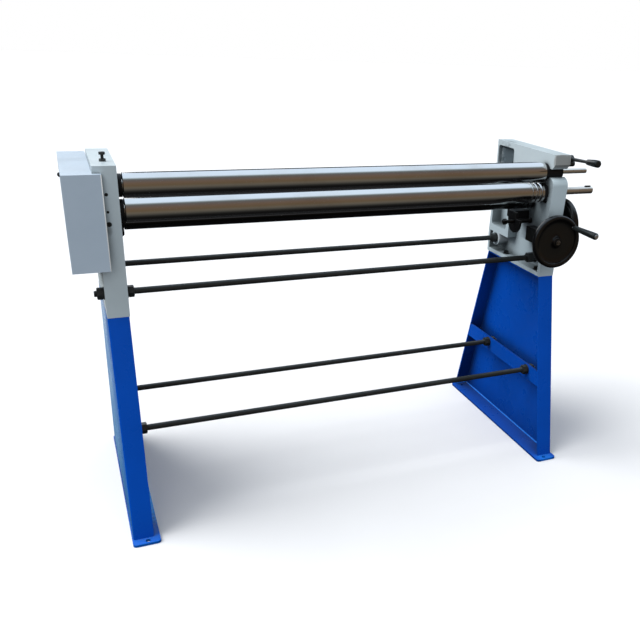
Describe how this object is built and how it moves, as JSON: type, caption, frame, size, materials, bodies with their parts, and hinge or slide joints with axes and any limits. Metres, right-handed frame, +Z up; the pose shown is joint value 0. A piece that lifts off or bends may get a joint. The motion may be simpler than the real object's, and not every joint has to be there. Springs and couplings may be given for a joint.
{
  "type": "manual slip roll",
  "caption": "Hand-cranked sheet-metal bending rolls: polished steel rolls between cast end frames on blue folded-plate stands, with handwheels and a release arm.",
  "frame": {"origin": "on the floor, under the middle of the machine's bounding box", "axes": "+X along the rolls towards the drive end and release arm, +Y from the operator's side to the back, +Z up"},
  "size_m": [1.659, 0.7984, 1.101],
  "materials": {
    "stand_paint": "gloss blue enamel",
    "casting_paint": "satin light grey enamel on castings",
    "cover_paint": "satin light grey enamel on sheet",
    "polished_steel": "ground and polished steel",
    "bright_steel": "bright steel",
    "dark_steel": "oiled machined steel",
    "blackened_steel": "satin black paint",
    "black_parts": "blackened iron",
    "wheel_black": "moulded black handwheel",
    "grip_plastic": "black grip"
  },
  "bodies": {
    "machine_frame": {"left_stand": "stand_paint", "left_foot_plate": "stand_paint", "left_strap": "stand_paint", "right_stand": "stand_paint", "right_foot_plate": "stand_paint", "right_strap": "stand_paint", "left_end_frame": "casting_paint", "right_end_frame": "casting_paint", "end_frame_bolts": "dark_steel", "gear_cover": "cover_paint", "cover_screw": "blackened_steel", "top_adjusting_bolt": "blackened_steel", "upper_front_tie_rod": "blackened_steel", "upper_back_tie_rod": "blackened_steel", "lower_front_tie_rod": "blackened_steel", "lower_back_tie_rod": "blackened_steel", "tie_rod_nuts": "blackened_steel", "top_left_bush": "black_parts", "top_right_bearing": "black_parts", "lift_housing": "black_parts", "lift_stay_bolt": "dark_steel", "front_gear_box": "black_parts", "arm_hinge_pin": "dark_steel"},
    "top_roll_body": {"top_roll": "polished_steel", "top_roll_gear": "dark_steel"},
    "lower_slide": {"lower_bearing_blocks": "black_parts"},
    "lower_roll_body": {"lower_roll": "polished_steel", "lower_roll_gear": "dark_steel"},
    "rear_slide": {"rear_bearing_blocks": "black_parts", "rear_lift_screw": "dark_steel"},
    "rear_roll_body": {"rear_roll": "polished_steel"},
    "arm": {"release_arm": "casting_paint"},
    "clamp": {"clamp_shaft": "black_parts", "clamp_lever": "black_parts", "clamp_grip": "grip_plastic"},
    "side_handwheel": {"side_wheel": "wheel_black", "cam_shaft": "dark_steel"},
    "front_handwheel": {"front_wheel": "wheel_black", "front_wheel_shaft": "dark_steel", "handle_bolt": "bright_steel"},
    "handle": {"crank_handle": "grip_plastic"}
  },
  "joints": [
    {"name": "top_roll_spin", "type": "hinge", "parent": "machine_frame", "child": "top_roll_body", "pos_m": [-0.0285, -0.14179, 1.016], "axis": [1, 0, 0], "continuous": true},
    {"name": "lower_roll_lift", "type": "slide", "parent": "machine_frame", "child": "lower_slide", "axis": [0, 0, 1], "range_m": [-0.008, 0]},
    {"name": "lower_roll_spin", "type": "hinge", "parent": "lower_slide", "child": "lower_roll_body", "pos_m": [-0.0285, -0.14179, 0.949], "axis": [1, 0, 0], "continuous": true},
    {"name": "rear_roll_lift", "type": "slide", "parent": "machine_frame", "child": "rear_slide", "axis": [0, 0, 1], "range_m": [-0.003, 0.045]},
    {"name": "rear_roll_spin", "type": "hinge", "parent": "rear_slide", "child": "rear_roll_body", "pos_m": [-0.0285, -0.06779, 0.913], "axis": [1, 0, 0], "continuous": true},
    {"name": "arm_swing", "type": "hinge", "parent": "machine_frame", "child": "arm", "pos_m": [0.6645, 0.15121, 1.01], "axis": [-1, 0, 0], "range_deg": [0, 70]},
    {"name": "clamp_turn", "type": "hinge", "parent": "arm", "child": "clamp", "pos_m": [0.7035, -0.17321, 1.062], "axis": [-1, 0, 0], "range_deg": [0, 90]},
    {"name": "side_wheel_turn", "type": "hinge", "parent": "machine_frame", "child": "side_handwheel", "pos_m": [0.6615, -0.14179, 0.836], "axis": [1, 0, 0], "range_deg": [0, 180]},
    {"name": "front_wheel_turn", "type": "hinge", "parent": "machine_frame", "child": "front_handwheel", "pos_m": [0.6215, -0.20479, 0.81], "axis": [0, 1, 0], "range_deg": [-216, 3240]},
    {"name": "handle_spin", "type": "hinge", "parent": "front_handwheel", "child": "handle", "pos_m": [0.67981, -0.33479, 0.85556], "axis": [0, 1, 0], "continuous": true}
  ],
  "couplings": [
    {"joint": "lower_roll_spin", "follows": "top_roll_spin", "ratio": -1},
    {"joint": "side_wheel_turn", "follows": "lower_roll_lift", "rad_per_m": -392.7},
    {"joint": "front_wheel_turn", "follows": "rear_roll_lift", "rad_per_m": 1256.6}
  ]
}
